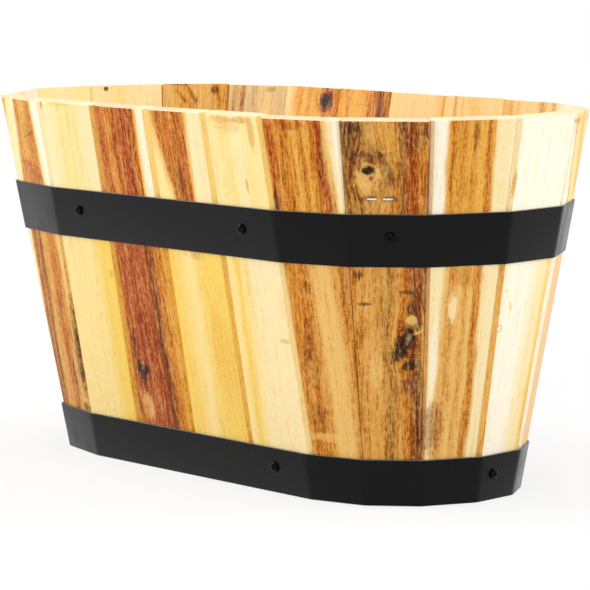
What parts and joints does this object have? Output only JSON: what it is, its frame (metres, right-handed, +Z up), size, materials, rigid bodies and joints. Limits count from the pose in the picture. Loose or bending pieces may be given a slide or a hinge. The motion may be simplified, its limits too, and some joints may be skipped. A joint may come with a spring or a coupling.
{
  "type": "wooden barrel planter",
  "caption": "Oval wooden barrel planter: a tub of outward-leaning staves round a drained plank base, held by flat steel bands.",
  "frame": {"origin": "middle of the tub's plan, on the ground it stands on", "axes": "+X along the tub's length, +Y from the side with the staples in its corner stave to the back, +Z up"},
  "size_m": [0.6141, 0.2996, 0.312],
  "materials": {
    "pale_acacia": "clear-coated acacia sapwood, satin",
    "brown_acacia": "clear-coated acacia heartwood, satin",
    "base_wood": "planed acacia, uncoated",
    "batten_wood": "sawn acacia, uncoated",
    "black_steel": "black powder coat, satin",
    "black_screw": "black-coated steel, semi-gloss",
    "zinc_steel": "bright zinc-plated steel"
  },
  "bodies": {
    "root": {"stave_01": "brown_acacia", "stave_02": "pale_acacia", "stave_03": "brown_acacia", "stave_04": "brown_acacia", "stave_05": "brown_acacia", "stave_06": "pale_acacia", "stave_07": "pale_acacia", "stave_08": "pale_acacia", "stave_09": "pale_acacia", "stave_10": "pale_acacia", "stave_11": "pale_acacia", "stave_12": "brown_acacia", "stave_13": "brown_acacia", "stave_14": "pale_acacia", "stave_15": "brown_acacia", "stave_16": "pale_acacia", "stave_17": "pale_acacia", "stave_18": "pale_acacia", "stave_19": "brown_acacia", "stave_20": "pale_acacia", "stave_21": "brown_acacia", "upper_band": "black_steel", "lower_band": "black_steel", "front_base_board": "base_wood", "middle_base_board": "base_wood", "back_base_board": "base_wood", "left_batten": "batten_wood", "right_batten": "batten_wood", "upper_band_screws": "black_screw", "lower_band_screws": "black_screw", "batten_screws": "zinc_steel", "stave_nails": "zinc_steel", "staples": "zinc_steel"}
  },
  "joints": []
}
